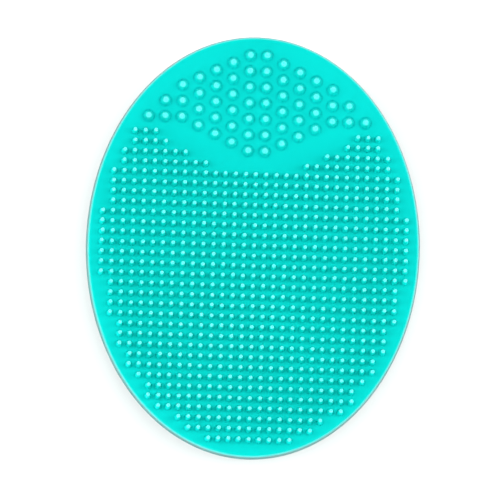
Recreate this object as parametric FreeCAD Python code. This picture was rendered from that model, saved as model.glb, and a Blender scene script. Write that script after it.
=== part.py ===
"""Silicone facial cleansing brush: an oval bristle pad on a finger grip with a suction cup."""
import FreeCAD, Part
import math
import os
from FreeCAD import Vector

os.makedirs("parts", exist_ok=True)

# Sizes are in millimetres. The brush stands on its suction cup, whose lip lies on z = 0 and is
# centred on the origin. The bristles point to +Z, the pad's long axis is Y, its head, with the
# coarse nubs, is at +Y and its tail is at -Y.

# Pad
PAD_LENGTH = 70.0
PAD_WIDTH = 55.0
PLATE_THICKNESS = 2.4
PLATE_TOP_RADIUS = 0.5
PLATE_UNDER_RADIUS = 0.9

# Suction cup
LIP_DIAMETER = 33.0
LIP_WIDTH = 2.4
LIP_THICKNESS = 1.2
LIP_EDGE_RADIUS = 0.4
CUP_DEPTH = 5.6
CROWN_DIAMETER = 15.0
CROWN_THICKNESS = 2.4
CROWN_HOLLOW = 0.43
SKIRT_LIP_SETBACK = 0.7
SKIRT_LIP_WIDTH = 1.2
SKIRT_CROWN_WIDTH = 2.2
SKIRT_BULGE = 0.5

# Finger grip, between the cup's crown and the pad
GRIP_FOOT_DIAMETER = 10.0
GRIP_FOOT_HEIGHT = 3.0
GRIP_FOOT_HOLLOW = 0.08
GRIP_WAIST_DIAMETER = 8.8
GRIP_WAIST_HEIGHT = 3.0
GRIP_WAIST_HOLLOW = 0.05
GRIP_ROOT_DIAMETER = 14.0
GRIP_ROOT_HEIGHT = 3.0
GRIP_ROOT_HOLLOW = 0.74

# Fine bristles
FINE_HEIGHT = 2.4
FINE_ROOT_DIAMETER = 1.0
FINE_TIP_DIAMETER = 0.7
FINE_TIP_BEVEL = 0.15
FINE_COLUMN_PITCH = 1.665
FINE_ROW_PITCH = 1.68
FINE_TAIL_INSET = 3.1
FINE_BANDS = 8
FINE_CONTACT_STEP = 6

# The oval that bounds the fine bristles, inside the pad's outline
FIELD_SIDE_INSET = 2.11
FIELD_TAIL_INSET = 1.5
FIELD_HEAD_INSET = 3.75
FIELD_HEAD_FLARE = 0.024

# Coarse nubs
NUB_HEIGHT = 1.1
NUB_ROOT_DIAMETER = 2.0
NUB_TIP_DIAMETER = 1.2
NUB_TIP_BEVEL = 0.25
NUB_COLUMN_PITCH = 2.75
NUB_ROW_PITCH = 2.65
NUB_HEAD_INSET = 3.25
NUB_EDGE_INSET = 2.2
NUB_MIDDLE_ROWS = 7
NUB_STEPPED_COLUMNS = 4
NUB_CONTACT_STEP = 3

# The bare band between the nubs and the fine bristles: its width, and where its edge starts to
# rise towards the head and how steeply
BARE_BAND_WIDTH = 3.8
BARE_BAND_KNEE = 4.8
BARE_BAND_SLOPE = 0.55
NUB_CLEARANCE = 0.6

# Levels that follow from the sizes above
CROWN_TOP = CUP_DEPTH + CROWN_THICKNESS
WAIST_BOTTOM = CROWN_TOP + GRIP_FOOT_HEIGHT
WAIST_TOP = WAIST_BOTTOM + GRIP_WAIST_HEIGHT
PLATE_BOTTOM = WAIST_TOP + GRIP_ROOT_HEIGHT
PLATE_TOP = PLATE_BOTTOM + PLATE_THICKNESS


def line(start, end):
    """Straight edge between two (radius, height) points of a profile."""
    return Part.makeLine(Vector(start[0], 0, start[1]), Vector(end[0], 0, end[1]))


def bowed(start, end, bulge):
    """Arc between two (radius, height) points, bowed by bulge to the right of its direction."""
    run, rise = end[0] - start[0], end[1] - start[1]
    chord = math.hypot(run, rise)
    middle = (
        (start[0] + end[0]) / 2 + bulge * rise / chord,
        (start[1] + end[1]) / 2 - bulge * run / chord,
    )
    ends = [Vector(r, 0, z) for r, z in (start, middle, end)]
    return Part.Arc(*ends).toShape()


def revolved(edges):
    """Solid of revolution about Z, from the closed loop of edges in the plane y = 0."""
    face = Part.Face(Part.Wire(edges))
    return face.revolve(Vector(0, 0, 0), Vector(0, 0, 1), 360)


def turned_core(levels, bulge):
    """Solid about Z between two (radius, height) rings, its side bowed out by bulge."""
    low, high = levels
    return revolved([
        line((0, low[1]), low),
        bowed(low, high, bulge),
        line(high, (0, high[1])),
        line((0, high[1]), (0, low[1])),
    ])


def pad_plate():
    """Oval plate with both edges rounded."""
    outline = Part.Ellipse(
        Vector(0, PAD_LENGTH / 2, PLATE_BOTTOM),
        Vector(PAD_WIDTH / 2, 0, PLATE_BOTTOM),
        Vector(0, 0, PLATE_BOTTOM),
    )
    face = Part.Face(Part.Wire(outline.toShape()))
    plate = face.extrude(Vector(0, 0, PLATE_THICKNESS))
    for height, radius in ((PLATE_TOP, PLATE_TOP_RADIUS), (PLATE_BOTTOM, PLATE_UNDER_RADIUS)):
        rims = [e for e in plate.Edges if is_level(e, height)]
        plate = plate.makeFillet(radius, rims)
    return plate


def is_level(edge, height):
    """Whether the whole edge lies at the height."""
    box = edge.BoundBox
    return max(abs(box.ZMin - height), abs(box.ZMax - height)) < 1e-4


def cup_lip():
    """Ring that the cup stands on and seals with."""
    outer = Part.makeCylinder(LIP_DIAMETER / 2, LIP_THICKNESS)
    ring = outer.cut(Part.makeCylinder(LIP_DIAMETER / 2 - LIP_WIDTH, LIP_THICKNESS))
    rims = [e for e in ring.Edges if is_level(e, LIP_THICKNESS)]
    rims = [e for e in rims if e.BoundBox.XMax > LIP_DIAMETER / 2 - LIP_WIDTH / 2]
    return ring.makeFillet(LIP_EDGE_RADIUS, rims)


def cup_skirt():
    """Thin bell between the lip and the crown, thinner towards the lip."""
    foot_outside = (LIP_DIAMETER / 2 - SKIRT_LIP_SETBACK, LIP_THICKNESS)
    foot_inside = (foot_outside[0] - SKIRT_LIP_WIDTH, LIP_THICKNESS)
    head_outside = (CROWN_DIAMETER / 2, CUP_DEPTH)
    head_inside = (CROWN_DIAMETER / 2 - SKIRT_CROWN_WIDTH, CUP_DEPTH)
    return revolved([
        line(foot_inside, foot_outside),
        bowed(foot_outside, head_outside, SKIRT_BULGE),
        line(head_outside, head_inside),
        bowed(head_inside, foot_inside, -SKIRT_BULGE),
    ])


def cup_crown():
    """Thick middle of the cup, from the hollow's flat roof up to the grip."""
    return turned_core(
        ((CROWN_DIAMETER / 2, CUP_DEPTH), (GRIP_FOOT_DIAMETER / 2, CROWN_TOP)), -CROWN_HOLLOW
    )


def grip_foot():
    """Lower end of the grip, flared where it leaves the crown."""
    return turned_core(
        ((GRIP_FOOT_DIAMETER / 2, CROWN_TOP), (GRIP_WAIST_DIAMETER / 2, WAIST_BOTTOM)),
        -GRIP_FOOT_HOLLOW,
    )


def grip_waist():
    """Slim middle of the grip, where it bends."""
    return turned_core(
        ((GRIP_WAIST_DIAMETER / 2, WAIST_BOTTOM), (GRIP_WAIST_DIAMETER / 2, WAIST_TOP)),
        -GRIP_WAIST_HOLLOW,
    )


def grip_root():
    """Upper end of the grip, flared where it joins the pad."""
    return turned_core(
        ((GRIP_WAIST_DIAMETER / 2, WAIST_TOP), (GRIP_ROOT_DIAMETER / 2, PLATE_BOTTOM)),
        -GRIP_ROOT_HOLLOW,
    )


def peg(root_diameter, tip_diameter, height, bevel):
    """Tapered peg about Z, its root on z = 0 and its tip bevelled all round."""
    root, tip = root_diameter / 2, tip_diameter / 2
    profile = [(0, 0), (root, 0), (tip, height - bevel), (tip - bevel, height), (0, height)]
    return revolved([line(*ends) for ends in zip(profile, profile[1:] + profile[:1])])


def half_width(y, centre, half_length, half_breadth):
    """Half the width of an ellipse at y, or None beyond its ends."""
    share = (y - centre) / half_length
    if abs(share) > 1:
        return None
    return half_breadth * math.sqrt(1 - share ** 2)


def nub_front(column):
    """Y of the nub nearest the tail in a column, counted from the pad's middle."""
    lowest = PAD_LENGTH / 2 - NUB_HEAD_INSET - (NUB_MIDDLE_ROWS - 1) * NUB_ROW_PITCH
    return lowest + min(column, NUB_STEPPED_COLUMNS) * NUB_ROW_PITCH / 2


def nub_sites():
    """(x, y, column, row) of each nub on the +X half of the pad: as many as its edge lets in."""
    sites = []
    for column in range(int(PAD_WIDTH / 2 / NUB_COLUMN_PITCH) + 1):
        x = (column + 0.5) * NUB_COLUMN_PITCH
        for row in range(int(PAD_LENGTH / NUB_ROW_PITCH)):
            y = nub_front(column) + row * NUB_ROW_PITCH
            edge = half_width(
                y, 0, PAD_LENGTH / 2 - NUB_EDGE_INSET, PAD_WIDTH / 2 - NUB_EDGE_INSET
            )
            if edge is not None and x <= edge:
                sites.append((x, y, column, row))
    return sites


def in_fine_field(x, y):
    """Whether a point is inside the oval of fine bristles and on the tail's side of the band."""
    tail, head = -PAD_LENGTH / 2 + FIELD_TAIL_INSET, PAD_LENGTH / 2 - FIELD_HEAD_INSET
    centre, half_length = (head + tail) / 2, (head - tail) / 2
    edge = half_width(y, centre, half_length, PAD_WIDTH / 2 - FIELD_SIDE_INSET)
    if edge is None:
        return False
    flare = 1 + FIELD_HEAD_FLARE * (y - centre) / half_length
    rise = BARE_BAND_SLOPE * max(0.0, abs(x) - BARE_BAND_KNEE)
    return abs(x) <= edge * flare and y <= nub_front(0) - BARE_BAND_WIDTH + rise


def fine_sites():
    """(x, y, column, row) of each fine bristle, on a lattice of rows and columns with a middle column."""
    nubs = [(side * x, y) for x, y, _, _ in nub_sites() for side in (-1, 1)]
    gap = (NUB_ROOT_DIAMETER + FINE_ROOT_DIAMETER) / 2 + NUB_CLEARANCE
    last_column = int(PAD_WIDTH / 2 / FINE_COLUMN_PITCH)
    sites = []
    for row in range(int(PAD_LENGTH / FINE_ROW_PITCH)):
        y = -PAD_LENGTH / 2 + FINE_TAIL_INSET + row * FINE_ROW_PITCH
        for column in range(-last_column, last_column + 1):
            x = column * FINE_COLUMN_PITCH
            clear = all(math.hypot(x - nx, y - ny) >= gap for nx, ny in nubs)
            if clear and in_fine_field(x, y):
                sites.append((x, y, column, row))
    return sites


def planted(shape, points):
    """Compound of copies of a shape, standing on the pad's top at the points."""
    return Part.makeCompound([shape.translated(Vector(x, y, PLATE_TOP)) for x, y in points])


def bristle_nodes():
    """The fine bristles by band, from the tail to the head, and a sparse even set of their own."""
    sites = fine_sites()
    rows = max(row for _, _, _, row in sites) + 1
    bands = {f"fine_bristles_{band + 1}": [] for band in range(FINE_BANDS)}
    sparse = []
    for x, y, column, row in sites:
        in_step = column % FINE_CONTACT_STEP == 0 and row % FINE_CONTACT_STEP == 2
        chosen = sparse if in_step else bands[f"fine_bristles_{row * FINE_BANDS // rows + 1}"]
        chosen.append((x, y))
    groups = dict(bands, fine_bristles_contact=sparse)
    bristle = peg(FINE_ROOT_DIAMETER, FINE_TIP_DIAMETER, FINE_HEIGHT, FINE_TIP_BEVEL)
    return {name: planted(bristle, points) for name, points in groups.items()}


def nub_nodes():
    """The coarse nubs of each side, and a sparse even set of their own."""
    left, right, sparse = [], [], []
    for x, y, column, row in nub_sites():
        in_step = column % NUB_CONTACT_STEP == 0 and row % NUB_CONTACT_STEP == 0
        (sparse if in_step else left).append((-x, y))
        (sparse if in_step else right).append((x, y))
    groups = {
        "coarse_nubs_left": left,
        "coarse_nubs_right": right,
        "coarse_nubs_contact": sparse,
    }
    nub = peg(NUB_ROOT_DIAMETER, NUB_TIP_DIAMETER, NUB_HEIGHT, NUB_TIP_BEVEL)
    return {name: planted(nub, points) for name, points in groups.items()}


nodes = {
    "pad_plate": pad_plate(),
    "grip_root": grip_root(),
    "grip_waist": grip_waist(),
    "grip_foot": grip_foot(),
    "cup_crown": cup_crown(),
    "cup_skirt": cup_skirt(),
    "cup_lip": cup_lip(),
}
nodes.update(bristle_nodes())
nodes.update(nub_nodes())

for name, shape in nodes.items():
    shape.exportStep(f"parts/{name}.step")
    print(name, len(shape.Solids), "solids", round(shape.Volume, 1), "mm3", shape.isValid())
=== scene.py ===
import math
import bpy
import numpy as np
from mathutils import Matrix, Vector


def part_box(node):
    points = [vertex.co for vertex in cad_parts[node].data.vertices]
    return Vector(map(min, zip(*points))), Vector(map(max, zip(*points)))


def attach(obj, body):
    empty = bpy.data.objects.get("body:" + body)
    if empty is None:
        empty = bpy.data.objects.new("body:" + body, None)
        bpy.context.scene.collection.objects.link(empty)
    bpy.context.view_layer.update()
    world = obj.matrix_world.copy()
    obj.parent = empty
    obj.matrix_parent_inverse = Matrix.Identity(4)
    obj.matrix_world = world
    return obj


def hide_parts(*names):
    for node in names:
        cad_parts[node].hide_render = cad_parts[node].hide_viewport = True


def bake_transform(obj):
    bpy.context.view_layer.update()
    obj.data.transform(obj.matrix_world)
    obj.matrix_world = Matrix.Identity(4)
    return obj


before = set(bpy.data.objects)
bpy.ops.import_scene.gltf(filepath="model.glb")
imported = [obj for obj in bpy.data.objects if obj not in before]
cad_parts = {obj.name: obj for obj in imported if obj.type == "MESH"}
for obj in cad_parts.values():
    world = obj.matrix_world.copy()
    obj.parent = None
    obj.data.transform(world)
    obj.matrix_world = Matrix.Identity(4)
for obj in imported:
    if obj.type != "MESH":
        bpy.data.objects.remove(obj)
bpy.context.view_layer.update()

MM = 0.001
BAND_COUNT = 8
BRISTLE_BANDS = [f"fine_bristles_{number}" for number in range(1, BAND_COUNT + 1)]
BRISTLE_BANDS.append("fine_bristles_contact")
NUB_GROUPS = ["coarse_nubs_left", "coarse_nubs_right", "coarse_nubs_contact"]
rng = np.random.default_rng(7)

# Mesh fineness: sides of a turned form or an outline, rings over the pad's faces, steps of a
# curve between two of its points, and the angle past which an edge is sharp
PAD_SEGMENTS = 320
PAD_FACE_RINGS = 24
BRISTLE_SEGMENTS = 14
NUB_SEGMENTS = 22
GRIP_SEGMENTS = 72
CUP_SEGMENTS = 120
CURVE_STEPS = 8
SHARP_ANGLE = math.radians(60)

# How unevenly the pegs stand: spread of the lean at the tip and of the share of height lost, how
# the lean grows with height, and how far a peg's root goes down into the plate
BRISTLE_LEAN = 0.035 * MM
BRISTLE_HEIGHT_LOSS = 0.01
NUB_LEAN = 0.02 * MM
NUB_HEIGHT_LOSS = 0.008
LEAN_CURVE = 1.6
PEG_SINK = 0.12 * MM

# Reading the pegs' places from the CAD: depth of a tip's rim, and reach of one peg about it
TIP_DEPTH = 0.02 * MM
PEG_REACH = 0.9 * MM

# The pad's edge
EDGE_ROUND_TOP = 0.38 * MM
EDGE_ROUND_UNDER = 0.9 * MM
EDGE_DRAFT = 0.2 * MM
PARTING_LEVEL = 1.05 * MM
PARTING_RIDGE = 0.05 * MM
PARTING_HALF_CREST = 0.03 * MM
PARTING_HALF_FOOT = 0.09 * MM

# The levels and half sizes that the CAD model gives, in metres
plate_low, plate_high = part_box("pad_plate")
PLATE_TOP = plate_high.z
PLATE_BOTTOM = plate_low.z
HALF_WIDTH = (plate_high.x - plate_low.x) / 2
HALF_LENGTH = (plate_high.y - plate_low.y) / 2


# ---------------------------------------------------------------- mesh helpers

def add_piece(name, vertices, faces, material, body, replaced):
    """A smooth mesh that rides on a body and stands for CAD nodes."""
    mesh = bpy.data.meshes.new(name)
    mesh.from_pydata([tuple(v) for v in vertices], [], faces)
    mesh.validate()
    mesh.shade_smooth()
    mesh.set_sharp_from_angle(angle=SHARP_ANGLE)
    piece = bpy.data.objects.new(name, mesh)
    bpy.context.scene.collection.objects.link(piece)
    piece.data.materials.append(material)
    if body:
        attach(piece, body)
    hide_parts(*replaced)
    return piece


def mm(*values):
    return tuple(value * MM for value in values)


def arc(centre, radius, first, last, steps):
    """Points of an arc in a (radius, height) profile, angles in degrees from outwards to up."""
    angles = np.radians(np.linspace(first, last, steps))
    return [(centre[0] + radius * math.cos(a), centre[1] + radius * math.sin(a)) for a in angles]


def turned(profile, segments):
    """Vertices and faces of a profile turned about Z, which its first and last points lie on."""
    angles = np.arange(segments) * 2 * math.pi / segments
    rings = profile[1:-1]
    vertices = [(0, 0, profile[0][1])]
    for radius, height in rings:
        vertices += [(radius * math.cos(a), radius * math.sin(a), height) for a in angles]
    vertices.append((0, 0, profile[-1][1]))
    faces = []
    for step in range(segments):
        after = (step + 1) % segments
        faces.append((0, 1 + after, 1 + step))
        for ring in range(len(rings) - 1):
            low, high = 1 + ring * segments, 1 + (ring + 1) * segments
            faces.append((low + step, low + after, high + after, high + step))
        top = 1 + (len(rings) - 1) * segments
        faces.append((top + step, top + after, len(vertices) - 1))
    return np.array(vertices), faces


def sites(node):
    """(x, y) of each peg's axis in a CAD node of pegs, from the vertices of their tips."""
    co = np.array([v.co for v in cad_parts[node].data.vertices])
    tips = co[co[:, 2] > co[:, 2].max() - TIP_DEPTH][:, :2]
    found = []
    while len(tips):
        near = np.hypot(*(tips - tips[0]).T) < PEG_REACH
        found.append((tips[near].min(0) + tips[near].max(0)) / 2)
        tips = tips[~near]
    return np.array(found)


def planted(template, points, lean, height_loss):
    """One mesh with a peg at each point, each turned, leaning and shortened a little at random."""
    vertices, faces = template
    top = vertices[:, 2].max()
    all_vertices, all_faces = [], []
    for number, (x, y) in enumerate(points):
        turn = rng.uniform(0, 2 * math.pi)
        cosine = math.cos(turn)
        sine = math.sin(turn)
        share = np.clip(vertices[:, 2] / top, 0, 1)
        own = rng.normal(0, lean, 2)
        moved = np.empty_like(vertices)
        bent = share ** LEAN_CURVE
        moved[:, 0] = vertices[:, 0] * cosine - vertices[:, 1] * sine + x + own[0] * bent
        moved[:, 1] = vertices[:, 0] * sine + vertices[:, 1] * cosine + y + own[1] * bent
        moved[:, 2] = vertices[:, 2] * (1 - share * abs(rng.normal(0, height_loss))) + PLATE_TOP
        all_vertices.append(moved)
        offset = number * len(vertices)
        all_faces += [tuple(i + offset for i in face) for face in faces]
    return np.vstack(all_vertices), all_faces


# ---------------------------------------------------------------- materials

CLOUD_SCALE = 90.0
CLOUD_STRENGTH = 0.35
CLOUD_DEPTH = 0.86
GRAIN_SCALE = 2600.0
GRAIN_RELIEF = 0.01 * MM
GRAIN_STRENGTH = 0.25
ROUGHNESS_LOW = 0.37
ROUGHNESS_HIGH = 0.49
SILICONE_IOR = 1.41
SCATTER_WEIGHT = 0.8
SCATTER_RADIUS = (0.15, 1.0, 0.95)
SCATTER_SCALE = 1.4 * MM
GLOSS_LEVEL = 0.4
GLOSS_TINT = (0.02, 1.0, 0.97, 1)


def node(tree, kind, **inputs):
    """A new node; each keyword is an input's name, with _ for a space, and its value."""
    made = tree.nodes.new(kind)
    for key, value in inputs.items():
        made.inputs[key.replace("_", " ")].default_value = value
    return made


def mixed(tree, factor, first, second):
    """Colour mix; each of first and second is a colour or a socket."""
    mix = tree.nodes.new("ShaderNodeMix")
    mix.data_type = "RGBA"
    for socket, value in ((mix.inputs[0], factor), (mix.inputs[6], first), (mix.inputs[7], second)):
        if isinstance(value, bpy.types.NodeSocket):
            tree.links.new(value, socket)
        else:
            socket.default_value = value
    return mix.outputs[2]


def risen(tree, height, start, end):
    """Smooth 0 to 1 as the height goes from start to end."""
    rise = node(tree, "ShaderNodeMapRange", From_Min=start, From_Max=end)
    rise.interpolation_type = "SMOOTHSTEP"
    tree.links.new(height.outputs["Z"], rise.inputs["Value"])
    return rise.outputs["Result"]


def silicone(name, base, tip=None, bands=()):
    """Soft translucent silicone with clouded colour and fine satin grain.

    tip is (start, end, tint): the colour turns to tint, a painted highlight, as the height goes
    from start to end. Each band is (rise, fall, tint): tint, painted light in the bands given here,
    shows where both rise and fall, each a (start, end) pair of heights, are past their start.
    """
    material = bpy.data.materials.new(name)
    material.use_nodes = True
    tree = material.node_tree
    shader = tree.nodes["Principled BSDF"]
    place = tree.nodes.new("ShaderNodeTexCoord").outputs["Object"]
    clouds = node(tree, "ShaderNodeTexNoise", Scale=CLOUD_SCALE, Detail=3.0, Roughness=0.55)
    tree.links.new(place, clouds.inputs["Vector"])
    deep = tuple(CLOUD_DEPTH * c for c in base[:3]) + (1,)
    spread = node(tree, "ShaderNodeMapRange", From_Min=0.35, From_Max=0.65, To_Max=CLOUD_STRENGTH)
    tree.links.new(clouds.outputs["Fac"], spread.inputs["Value"])
    colour = mixed(tree, spread.outputs["Result"], base, deep)
    height = tree.nodes.new("ShaderNodeSeparateXYZ")
    tree.links.new(place, height.inputs[0])
    if tip:
        start, end, tint = tip
        colour = mixed(tree, risen(tree, height, start, end), colour, tint)
    for rise, fall, tint in bands:
        band = tree.nodes.new("ShaderNodeMath")
        band.operation = "MULTIPLY"
        tree.links.new(risen(tree, height, *rise), band.inputs[0])
        tree.links.new(risen(tree, height, *fall), band.inputs[1])
        colour = mixed(tree, band.outputs[0], colour, tint)
    tree.links.new(colour, shader.inputs["Base Color"])
    grain = node(tree, "ShaderNodeTexNoise", Scale=GRAIN_SCALE, Detail=2.0, Roughness=0.5)
    tree.links.new(place, grain.inputs["Vector"])
    gloss = node(tree, "ShaderNodeMapRange", To_Min=ROUGHNESS_LOW, To_Max=ROUGHNESS_HIGH)
    tree.links.new(grain.outputs["Fac"], gloss.inputs["Value"])
    tree.links.new(gloss.outputs["Result"], shader.inputs["Roughness"])
    bump = node(tree, "ShaderNodeBump", Strength=GRAIN_STRENGTH, Distance=GRAIN_RELIEF)
    tree.links.new(grain.outputs["Fac"], bump.inputs["Height"])
    tree.links.new(bump.outputs["Normal"], shader.inputs["Normal"])
    shader.inputs["IOR"].default_value = SILICONE_IOR
    shader.inputs["Subsurface Weight"].default_value = SCATTER_WEIGHT
    shader.inputs["Subsurface Radius"].default_value = SCATTER_RADIUS
    shader.inputs["Subsurface Scale"].default_value = SCATTER_SCALE
    shader.inputs["Specular IOR Level"].default_value = GLOSS_LEVEL
    shader.inputs["Specular Tint"].default_value = GLOSS_TINT
    return material


# Linear colours
TEAL = (0.0005, 0.335, 0.303, 1)
# Painted light: the bristles and nubs are the pad's own silicone, coloured lighter to stand in for
# light through the thin silicone and to lift their shaded sides.
BRISTLE_LIT_TEAL = (0.0006, 0.53, 0.48, 1)
NUB_LIT_TEAL = (0.0006, 0.40, 0.362, 1)
# Painted highlights: lighter tints on the bristle and nub tips, standing in for light on and through
# their domes.
BRISTLE_TIP_HIGHLIGHT = (0.095, 0.48, 0.46, 1)
NUB_TIP_HIGHLIGHT = (0.062, 0.42, 0.40, 1)
# Painted highlight on the pad's rounded top edge.
RIM_HIGHLIGHT = (0.08, 0.40, 0.38, 1)
# Painted shade: a darker, greyer teal on the pad's side wall.
WALL_SHADE = (0.09, 0.195, 0.19, 1)

# Painted light round the pad's edge: a painted highlight on the rounded top edge and painted
# shade on the wall below it. From its lower end upwards each band fades in, and it fades out
# again towards its upper end, so the second pair of heights runs downwards.
RIM_HIGHLIGHT_BAND = (
    (PLATE_TOP - 0.60 * MM, PLATE_TOP - 0.30 * MM),
    (PLATE_TOP, PLATE_TOP - 0.10 * MM),
    RIM_HIGHLIGHT,
)
WALL_SHADE_BAND = (
    (PLATE_BOTTOM + 0.3 * MM, PLATE_BOTTOM + 0.9 * MM),
    (PLATE_TOP - 0.24 * MM, PLATE_TOP - 0.46 * MM),
    WALL_SHADE,
)
# Heights over which the painted highlights fade in towards the bristle and nub tips.
BRISTLE_TIP_HIGHLIGHT_FADE = (PLATE_TOP + 1.7 * MM, PLATE_TOP + 2.34 * MM, BRISTLE_TIP_HIGHLIGHT)
NUB_TIP_HIGHLIGHT_FADE = (PLATE_TOP + 0.76 * MM, PLATE_TOP + 1.08 * MM, NUB_TIP_HIGHLIGHT)

pad_material = silicone("pad_silicone_look", TEAL, bands=(RIM_HIGHLIGHT_BAND, WALL_SHADE_BAND))
bristle_material = silicone("bristle_silicone_look", BRISTLE_LIT_TEAL, tip=BRISTLE_TIP_HIGHLIGHT_FADE)
nub_material = silicone("nub_silicone_look", NUB_LIT_TEAL, tip=NUB_TIP_HIGHLIGHT_FADE)
cup_material = silicone("cup_silicone_look", TEAL)


# ---------------------------------------------------------------- the pad

def edge_profile():
    """The pad's edge from the top face to the under face, as (inset, height), insets negative."""
    parting = PLATE_BOTTOM + PARTING_LEVEL
    top_centre = (-EDGE_ROUND_TOP - PARTING_RIDGE - EDGE_DRAFT, PLATE_TOP - EDGE_ROUND_TOP)
    under_centre = (-EDGE_ROUND_UNDER - PARTING_RIDGE, PLATE_BOTTOM + EDGE_ROUND_UNDER)
    profile = arc(top_centre, EDGE_ROUND_TOP, 90, 8, 9)
    profile.append((-PARTING_RIDGE, parting + PARTING_HALF_FOOT))
    profile.append((0, parting + PARTING_HALF_CREST))
    profile.append((0, parting - PARTING_HALF_CREST))
    profile.append((-PARTING_RIDGE, parting - PARTING_HALF_FOOT))
    return profile + arc(under_centre, EDGE_ROUND_UNDER, 0, -90, 9)


def level_ring(points, height):
    return np.column_stack([points, np.full(len(points), height)])


def pad_plate():
    """Oval plate with rounded edges and a faint parting line round its wall."""
    edge = edge_profile()
    angles = np.arange(PAD_SEGMENTS) * 2 * math.pi / PAD_SEGMENTS
    outline = np.stack([HALF_WIDTH * np.cos(angles), HALF_LENGTH * np.sin(angles)], 1)
    normal = np.stack([HALF_LENGTH * np.cos(angles), HALF_WIDTH * np.sin(angles)], 1)
    normal /= np.linalg.norm(normal, axis=1)[:, None]
    top_rim = outline + normal * edge[0][0]
    under_rim = outline + normal * edge[-1][0]
    steps = range(1, PAD_FACE_RINGS)
    rings = [level_ring(top_rim * step / PAD_FACE_RINGS, PLATE_TOP) for step in steps]
    rings += [level_ring(outline + normal * inset, height) for inset, height in edge]
    rings += [level_ring(under_rim * step / PAD_FACE_RINGS, PLATE_BOTTOM) for step in reversed(steps)]
    vertices = np.vstack([[(0, 0, PLATE_TOP)]] + rings + [[(0, 0, PLATE_BOTTOM)]])
    end = len(vertices) - 1
    last_ring = 1 + (len(rings) - 1) * PAD_SEGMENTS
    faces = []
    for step in range(PAD_SEGMENTS):
        after = (step + 1) % PAD_SEGMENTS
        faces.append((0, 1 + step, 1 + after))
        for ring in range(len(rings) - 1):
            low = 1 + ring * PAD_SEGMENTS
            high = low + PAD_SEGMENTS
            faces.append((low + after, low + step, high + step, high + after))
        faces.append((last_ring + after, last_ring + step, end))
    add_piece("pad", vertices, faces, pad_material, "head", ["pad_plate"])


# ---------------------------------------------------------------- bristles and nubs

# Flanks from the foot of the root fillet upwards, as (radius, height above the plate)
BRISTLE_FLANK = [mm(0.58, 0), mm(0.51, 0.06), mm(0.46, 0.16), mm(0.43, 0.36)]
BRISTLE_MIDDLE_RADIUS = 0.37 * MM
BRISTLE_TIP_RADIUS = 0.31 * MM
NUB_FLANK = [mm(1.04, 0), mm(0.92, 0.04), mm(0.83, 0.12), mm(0.76, 0.28), mm(0.67, 0.52)]
NUB_DOME_CENTRE = 0.10 * MM
NUB_DOME_RADIUS = 0.52 * MM
NUB_DIMPLE_RADIUS = 0.07 * MM
NUB_DIMPLE_STEP = 0.03 * MM
ROOT_SPREAD = 0.06 * MM


def rooted(flank):
    """A peg's profile from the axis below the plate's face out and up its flank."""
    return [(0, -PEG_SINK), (flank[0][0] + ROOT_SPREAD, -PEG_SINK)] + flank


def fine_bristle():
    low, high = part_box(BRISTLE_BANDS[0])
    height = high.z - low.z
    profile = rooted(BRISTLE_FLANK) + [(BRISTLE_MIDDLE_RADIUS, height / 2)]
    profile += arc((0, height - BRISTLE_TIP_RADIUS), BRISTLE_TIP_RADIUS, 0, 75, 6)
    return turned(profile + [(0, height)], BRISTLE_SEGMENTS)


def coarse_nub():
    """A low nub whose domed top has a shallow dimple."""
    low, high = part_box(NUB_GROUPS[0])
    height = high.z - low.z
    profile = rooted(NUB_FLANK)
    profile += arc((NUB_DOME_CENTRE, height - NUB_DOME_RADIUS), NUB_DOME_RADIUS, 20, 90, 8)
    profile.append((NUB_DIMPLE_RADIUS, height - NUB_DIMPLE_STEP))
    profile.append((0, height - 2 * NUB_DIMPLE_STEP))
    return turned(profile, NUB_SEGMENTS)


pad_plate()
bristle = fine_bristle()
for band in BRISTLE_BANDS:
    vertices, faces = planted(bristle, sites(band), BRISTLE_LEAN, BRISTLE_HEIGHT_LOSS)
    add_piece(f"{band}_look", vertices, faces, bristle_material, "head", [band])
nub = coarse_nub()
for group in NUB_GROUPS:
    vertices, faces = planted(nub, sites(group), NUB_LEAN, NUB_HEIGHT_LOSS)
    add_piece(f"{group}_look", vertices, faces, nub_material, "head", [group])


# ---------------------------------------------------------------- the grip and the cup

def smooth_profile(points):
    """A smooth (Catmull-Rom) curve through (radius, height) points."""
    points = [np.array(p, float) for p in points]
    padded = [2 * points[0] - points[1]] + points + [2 * points[-1] - points[-2]]
    curve = []
    for a, b, c, d in zip(padded, padded[1:], padded[2:], padded[3:]):
        for t in np.linspace(0, 1, CURVE_STEPS, endpoint=False):
            curve.append(0.5 * (2 * b + (c - a) * t + (2 * a - 5 * b + 4 * c - d) * t * t
                                + (3 * b - a - 3 * c + d) * t ** 3))
    curve.append(points[-1])
    return [tuple(p) for p in curve]


root_low, root_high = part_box("grip_root")
waist_low, waist_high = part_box("grip_waist")
foot_low, foot_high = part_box("grip_foot")
crown_low, crown_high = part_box("cup_crown")
lip_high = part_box("cup_lip")[1]
skirt_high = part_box("cup_skirt")[1]

WAIST_MIDDLE = (waist_low.z + waist_high.z) / 2
WAIST_RADIUS = waist_high.x - 0.03 * MM

# Where the grip's sides run between its ends
ROOT_FLARE = 0.55 * MM
ROOT_FLARE_RISE = 0.3 * MM
FOOT_FLARE_LEVEL = 1.2 * MM

# Points of the cup's section between its crown and lip, as (radius, height)
SKIRT_BACK = mm(12.2, 3.9)
CROWN_SHOULDER = mm(6.1, 6.6)
HOLLOW_CEILING_RADIUS = 4.6 * MM
HOLLOW_CEILING_DROP = 0.05 * MM
HOLLOW_SIDE = [mm(8.6, 4.75), mm(12.0, 3.0)]


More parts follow.
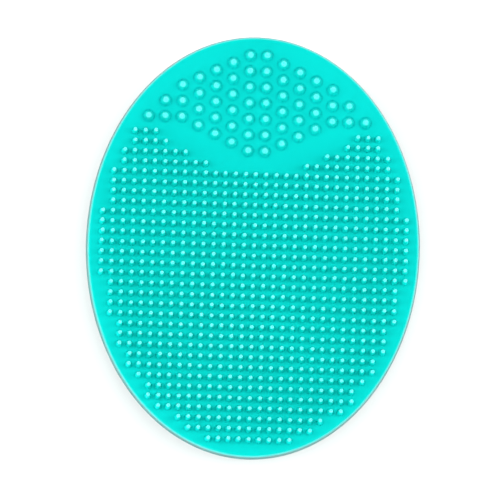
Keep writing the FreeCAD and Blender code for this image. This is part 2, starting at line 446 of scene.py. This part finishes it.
def grip_upper():
    """From the middle of the waist up to the pad."""
    side = smooth_profile([
        (WAIST_RADIUS, WAIST_MIDDLE),
        (WAIST_RADIUS, waist_high.z),
        (WAIST_RADIUS + ROOT_FLARE, (root_low.z + root_high.z) / 2 + ROOT_FLARE_RISE),
        (root_high.x, root_high.z),
    ])
    vertices, faces = turned([(0, WAIST_MIDDLE)] + side + [(0, root_high.z)], GRIP_SEGMENTS)
    upper = add_piece("grip_upper", vertices, faces, pad_material, None,
                      ["grip_root"])
    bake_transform(upper)


def grip_lower():
    """From the cup's crown up to the middle of the waist."""
    side = smooth_profile([
        (foot_high.x, foot_low.z),
        ((foot_high.x + WAIST_RADIUS) / 2, foot_low.z + FOOT_FLARE_LEVEL),
        (WAIST_RADIUS, foot_high.z),
        (WAIST_RADIUS, WAIST_MIDDLE),
    ])
    vertices, faces = turned([(0, foot_low.z)] + side + [(0, WAIST_MIDDLE)], GRIP_SEGMENTS)
    lower = add_piece("grip_lower", vertices, faces, pad_material, None,
                      ["grip_foot", "grip_waist"])
    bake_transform(lower)


def suction_cup():
    """Lip, skirt and crown in one skin, hollow underneath, with a rounded lip."""
    lip, lip_top = lip_high.x, lip_high.z
    outside = smooth_profile([
        (lip - 0.15 * MM, 0),
        (lip, 0.35 * MM),
        (lip - 0.2 * MM, lip_top - 0.2 * MM),
        (lip - 1.2 * MM, lip_top + 0.35 * MM),
        SKIRT_BACK,
        (crown_high.x, skirt_high.z),
        CROWN_SHOULDER,
        (foot_high.x, crown_high.z),
    ])
    inside = smooth_profile([
        (0, crown_low.z),
        (HOLLOW_CEILING_RADIUS, crown_low.z - HOLLOW_CEILING_DROP),
        *HOLLOW_SIDE,
        (lip - 2.2 * MM, 1.0 * MM),
        (lip - 1.6 * MM, 0.12 * MM),
        (lip - 0.8 * MM, 0),
    ])
    vertices, faces = turned(inside + outside + [(0, crown_high.z)], CUP_SEGMENTS)
    cup = add_piece("cup", vertices, faces, cup_material, None,
                    ["cup_lip", "cup_skirt", "cup_crown"])
    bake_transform(cup)


grip_upper()
grip_lower()
suction_cup()


# ---------------------------------------------------------------- floor, light and camera

FLOOR_HALF = 3.0
FLOOR_GREY = (0.56, 0.56, 0.56, 1)
FLOOR_ROUGHNESS = 0.9
WORLD_WHITE = (1, 1, 1, 1)
WORLD_STRENGTH = 0.95
LIGHT_TARGET = (0, 0, 0.02)

# Name, place, size and power of each soft light, in metres and watts
SOFTBOXES = [
    ("overhead_softbox", (-0.08, -0.14, 1.68), (0.5, 0.5), 16.5),
    ("front_softbox", (-0.38, -0.72, 0.34), (0.4, 0.4), 2.9),
    ("left_softbox", (-0.42, 0.02, 0.46), (0.25, 0.5), 2.8),
    ("right_softbox", (0.42, 0.06, 0.46), (0.25, 0.5), 3.0),
]

CAMERA_TARGET = (-0.56 * MM, -0.55 * MM, PLATE_TOP)
CAMERA_DISTANCE = 1.4
CAMERA_TILT_BACK = math.radians(7.5)
CAMERA_TILT_LEFT = math.radians(3.3)
CAMERA_ROLL = math.radians(1.6)
CAMERA_NEAR = 0.01
VIEW_HEIGHT = 82.1 * MM
SENSOR_MM = 36


def stage_floor():
    mesh = bpy.data.meshes.new("floor")
    half = FLOOR_HALF
    mesh.from_pydata([(-half, -half, 0), (half, -half, 0), (half, half, 0), (-half, half, 0)], [],
                     [(0, 1, 2, 3)])
    floor = bpy.data.objects.new("floor", mesh)
    bpy.context.scene.collection.objects.link(floor)
    material = bpy.data.materials.new("floor_white")
    material.use_nodes = True
    shader = material.node_tree.nodes["Principled BSDF"]
    shader.inputs["Base Color"].default_value = FLOOR_GREY
    shader.inputs["Roughness"].default_value = FLOOR_ROUGHNESS
    floor.data.materials.append(material)


def studio_world():
    world = bpy.data.worlds.new("studio")
    bpy.context.scene.world = world
    world.use_nodes = True
    background = world.node_tree.nodes["Background"]
    background.inputs["Color"].default_value = WORLD_WHITE
    background.inputs["Strength"].default_value = WORLD_STRENGTH


def area_light(name, place, size, power):
    data = bpy.data.lights.new(name, "AREA")
    data.shape = "RECTANGLE"
    data.size, data.size_y = size
    data.energy = power
    light = bpy.data.objects.new(name, data)
    light.location = place
    aim = Vector(LIGHT_TARGET) - Vector(place)
    light.rotation_euler = aim.to_track_quat("-Z", "Y").to_euler()
    bpy.context.scene.collection.objects.link(light)


def studio_camera():
    """Almost straight above the bristles, tilted a little back and to the left, and rolled."""
    data = bpy.data.cameras.new("camera")
    camera = bpy.data.objects.new("camera", data)
    away = Vector((-math.tan(CAMERA_TILT_LEFT), -math.tan(CAMERA_TILT_BACK), 1)).normalized()
    camera.location = Vector(CAMERA_TARGET) + away * CAMERA_DISTANCE
    right = Vector((0, 1, 0)).cross(away).normalized()
    upright = Matrix((right, away.cross(right), away)).transposed()
    camera.rotation_euler = (upright @ Matrix.Rotation(CAMERA_ROLL, 3, "Z")).to_euler()
    data.sensor_width = SENSOR_MM
    data.lens = SENSOR_MM / (VIEW_HEIGHT / CAMERA_DISTANCE)
    data.clip_start = CAMERA_NEAR
    bpy.context.scene.collection.objects.link(camera)
    bpy.context.scene.camera = camera
    bpy.context.scene.view_settings.view_transform = "Standard"


stage_floor()
studio_world()
for softbox in SOFTBOXES:
    area_light(*softbox)
studio_camera()
